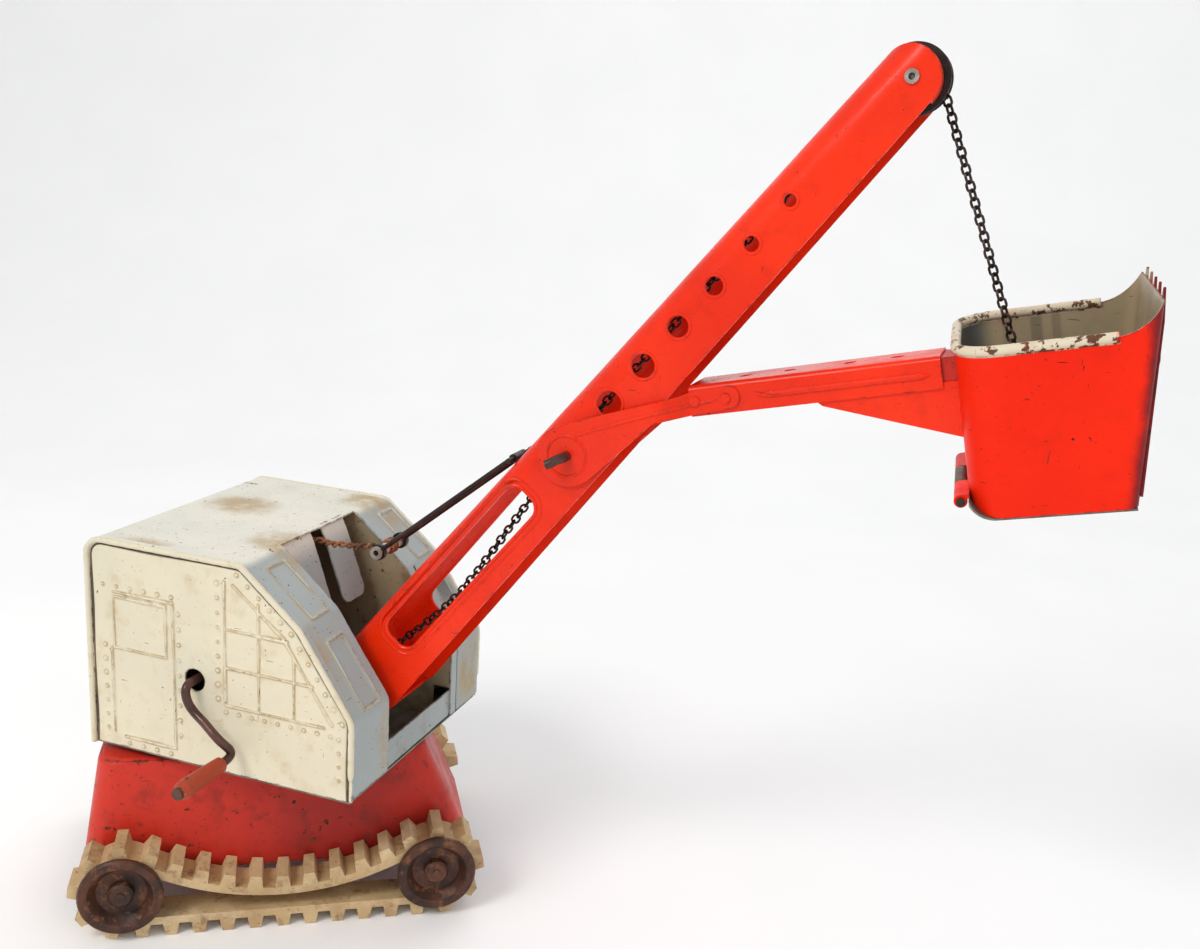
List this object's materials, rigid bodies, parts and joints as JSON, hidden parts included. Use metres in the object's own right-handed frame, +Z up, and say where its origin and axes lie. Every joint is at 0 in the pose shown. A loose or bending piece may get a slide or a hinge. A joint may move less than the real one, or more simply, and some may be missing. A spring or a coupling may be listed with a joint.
{
  "type": "toy power shovel",
  "caption": "Pressed-tin toy power shovel: slewing house on rubber tracks, luffing boom, dipper arm with bottom-dump bucket, chain hoist and hand cranks.",
  "frame": {"origin": "on the ground under the middle of the whole toy at rest; the slewing axis stands 113 mm behind it, at X = -0.113", "axes": "+Z up, +X along the boom from house to bucket, +Y to the left seen from the house; the chassis stands turned 33 degrees about +Z"},
  "size_m": [0.4212, 0.1844, 0.3542],
  "materials": {
    "chassis_paint": "gloss, worn",
    "track_rubber": "matt, aged",
    "plated_steel": "satin",
    "bare_tin": "matt",
    "house_paint": "semi-gloss, worn",
    "brown_steel": "satin, rusty",
    "brown_wire": "satin",
    "handle_paint": "satin, worn",
    "dark_steel": "satin",
    "boom_paint": "gloss",
    "chain_steel": "satin",
    "rusty_cord": "rough"
  },
  "bodies": {
    "undercarriage": {"chassis_shell": "chassis_paint", "front_axle_bracket": "chassis_paint", "rear_axle_bracket": "chassis_paint", "bracket_rivets": "plated_steel", "slew_post": "plated_steel", "slew_washer": "bare_tin", "track_right": "track_rubber", "track_left": "track_rubber"},
    "front_wheels": {"front_axle": "brown_steel", "front_wheel_right": "brown_steel", "front_wheel_left": "brown_steel"},
    "rear_wheels": {"rear_axle": "brown_steel", "rear_wheel_right": "brown_steel", "rear_wheel_left": "brown_steel"},
    "house": {"base_pan": "bare_tin", "side_panel_right": "house_paint", "side_panel_left": "house_paint", "roof_wrap": "house_paint", "front_skirt": "house_paint", "winch_frame_right": "bare_tin", "winch_frame_left": "bare_tin", "frame_rivets": "plated_steel", "boom_pivot_pin": "plated_steel", "house_chain": "chain_steel"},
    "hoist_winch": {"hoist_crank": "brown_wire", "hoist_drum": "dark_steel", "hoist_spring": "dark_steel"},
    "hoist_grip": {"hoist_handle": "handle_paint"},
    "luff_winch": {"luff_crank": "brown_wire", "luff_drum": "dark_steel", "luff_spring": "dark_steel"},
    "luff_grip": {"luff_handle": "handle_paint"},
    "boom": {"boom_shell": "boom_paint", "tip_rivet": "plated_steel", "arm_pivot_pin": "brown_wire", "stay_bracket": "dark_steel", "boom_chain": "chain_steel"},
    "sheave": {"tip_sheave": "dark_steel"},
    "stay": {"stay_wire": "dark_steel", "stay_cross_tube": "plated_steel", "luff_cord": "rusty_cord"},
    "chain_fall": {"chain_upper_run": "chain_steel"},
    "chain_end": {"chain_lower_run": "chain_steel"},
    "arm": {"arm_channel": "boom_paint", "yoke_plate_right": "boom_paint", "yoke_plate_left": "boom_paint", "yoke_rivets": "boom_paint", "arm_gusset": "boom_paint", "bucket_bracket": "boom_paint", "bucket_shell": "boom_paint", "tooth_plate": "boom_paint", "tooth_plate_rivets": "plated_steel", "chain_rod": "plated_steel", "door_hinge_pin": "plated_steel"},
    "bucket_door": {"bucket_door": "boom_paint"}
  },
  "joints": [
    {"name": "house_slew", "type": "hinge", "parent": "undercarriage", "child": "house", "pos_m": [-0.113, 0, 0.069], "axis": [0, 0, 1], "continuous": true},
    {"name": "rear_axle_turn", "type": "hinge", "parent": "undercarriage", "child": "rear_wheels", "pos_m": [-0.165, -0.03377, 0.02], "axis": [-0.5446, 0.8387, 0], "continuous": true},
    {"name": "front_axle_turn", "type": "hinge", "parent": "undercarriage", "child": "front_wheels", "pos_m": [-0.061, 0.03377, 0.02], "axis": [-0.5446, 0.8387, 0], "continuous": true},
    {"name": "boom_luff", "type": "hinge", "parent": "house", "child": "boom", "pos_m": [-0.059, 0, 0.104], "axis": [0, -1, 0], "range_deg": [-24, 12]},
    {"name": "luff_crank_turn", "type": "hinge", "parent": "house", "child": "luff_winch", "pos_m": [-0.127, 0, 0.141], "axis": [0, -1, 0], "range_deg": [-247.7, 126.4]},
    {"name": "luff_grip_spin", "type": "hinge", "parent": "luff_winch", "child": "luff_grip", "pos_m": [-0.141, 0, 0.1115], "axis": [0, -1, 0], "continuous": true},
    {"name": "stay_swing", "type": "hinge", "parent": "boom", "child": "stay", "pos_m": [-0.00778, 0, 0.19977], "axis": [0, -1, 0], "range_deg": [-6.2, 10.4], "deforming": ["luff_cord"]},
    {"name": "arm_lift", "type": "hinge", "parent": "boom", "child": "arm", "pos_m": [0.01814, 0, 0.2068], "axis": [0, -1, 0], "range_deg": [-40, 2]},
    {"name": "hoist_crank_turn", "type": "hinge", "parent": "house", "child": "hoist_winch", "pos_m": [-0.117, 0, 0.106], "axis": [0, -1, 0], "range_deg": [-850.4, 47.3]},
    {"name": "hoist_grip_spin", "type": "hinge", "parent": "hoist_winch", "child": "hoist_grip", "pos_m": [-0.097, 0, 0.08], "axis": [0, -1, 0], "continuous": true},
    {"name": "tip_sheave_turn", "type": "hinge", "parent": "boom", "child": "sheave", "pos_m": [0.12489, 0, 0.34294], "axis": [0, -1, 0], "range_deg": [-804.7, 45]},
    {"name": "chain_swing", "type": "hinge", "parent": "boom", "child": "chain_fall", "pos_m": [0.12489, 0, 0.34294], "axis": [0, -1, 0], "range_deg": [-14.5, 2.6]},
    {"name": "chain_payout", "type": "slide", "parent": "chain_fall", "child": "chain_end", "axis": [0.3743, 0, -0.9273], "range_m": [-0.0072, 0.1053]},
    {"name": "bucket_door_swing", "type": "hinge", "parent": "arm", "child": "bucket_door", "pos_m": [0.15521, 0.0029, 0.21368], "axis": [-0.0714, 0.9941, 0.0814], "range_deg": [0, 95]}
  ],
  "couplings": [
    {"joint": "front_axle_turn", "follows": "rear_axle_turn", "ratio": 1},
    {"joint": "luff_crank_turn", "follows": "boom_luff", "ratio": 10.113},
    {"joint": "stay_swing", "follows": "boom_luff", "ratio": -0.3481},
    {"joint": "hoist_crank_turn", "follows": "arm_lift", "ratio": 21.134},
    {"joint": "tip_sheave_turn", "follows": "arm_lift", "ratio": 19.992},
    {"joint": "chain_swing", "follows": "arm_lift", "ratio": 0.3117},
    {"joint": "chain_payout", "follows": "arm_lift", "m_per_rad": -0.14794}
  ]
}
